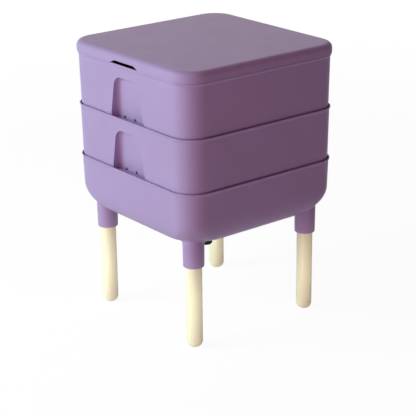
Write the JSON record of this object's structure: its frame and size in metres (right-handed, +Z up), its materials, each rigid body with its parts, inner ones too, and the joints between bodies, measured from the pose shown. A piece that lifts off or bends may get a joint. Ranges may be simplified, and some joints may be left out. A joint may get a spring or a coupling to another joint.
{
  "type": "wormery",
  "caption": "Square stacking worm composter: lid, trays with finger recesses and holed floors, rounded collector base with drain tap, round wooden legs.",
  "frame": {"origin": "on the ground under the middle of the square stack", "axes": "+Z up, -Y the front with the finger recesses, +X the right side"},
  "size_m": [0.381, 0.381, 0.5588],
  "materials": {
    "moulded_plastic": "satin moulded polypropylene",
    "leg_wood": "sanded pale wood",
    "tap_plastic": "glossy black",
    "seal_rubber": "matt",
    "clip_steel": "bright"
  },
  "bodies": {
    "base": {"collector_base": "moulded_plastic", "leg_front_left": "leg_wood", "leg_front_right": "leg_wood", "leg_back_right": "leg_wood", "leg_back_left": "leg_wood", "tap_body": "tap_plastic", "tap_back_nut": "tap_plastic", "tap_outer_washer": "seal_rubber", "tap_inner_washer": "seal_rubber"},
    "lower_tray": {"lower_tray": "moulded_plastic"},
    "upper_tray": {"upper_tray": "moulded_plastic"},
    "lid": {"lid": "moulded_plastic"},
    "tap_handle": {"tap_plug": "tap_plastic", "tap_seal_ring": "seal_rubber", "tap_clip": "clip_steel", "tap_lever": "tap_plastic"}
  },
  "joints": [
    {"name": "lower_tray_lift", "type": "slide", "parent": "base", "child": "lower_tray", "axis": [0, 0, 1], "range_m": [0, 0.15]},
    {"name": "upper_tray_lift", "type": "slide", "parent": "lower_tray", "child": "upper_tray", "axis": [0, 0, 1], "range_m": [0, 0.15]},
    {"name": "lid_lift", "type": "slide", "parent": "upper_tray", "child": "lid", "axis": [0, 0, 1], "range_m": [0, 0.12]},
    {"name": "tap_turn", "type": "hinge", "parent": "base", "child": "tap_handle", "pos_m": [0, 0, 0.1684], "axis": [0, -1, 0], "range_deg": [0, 90]}
  ]
}
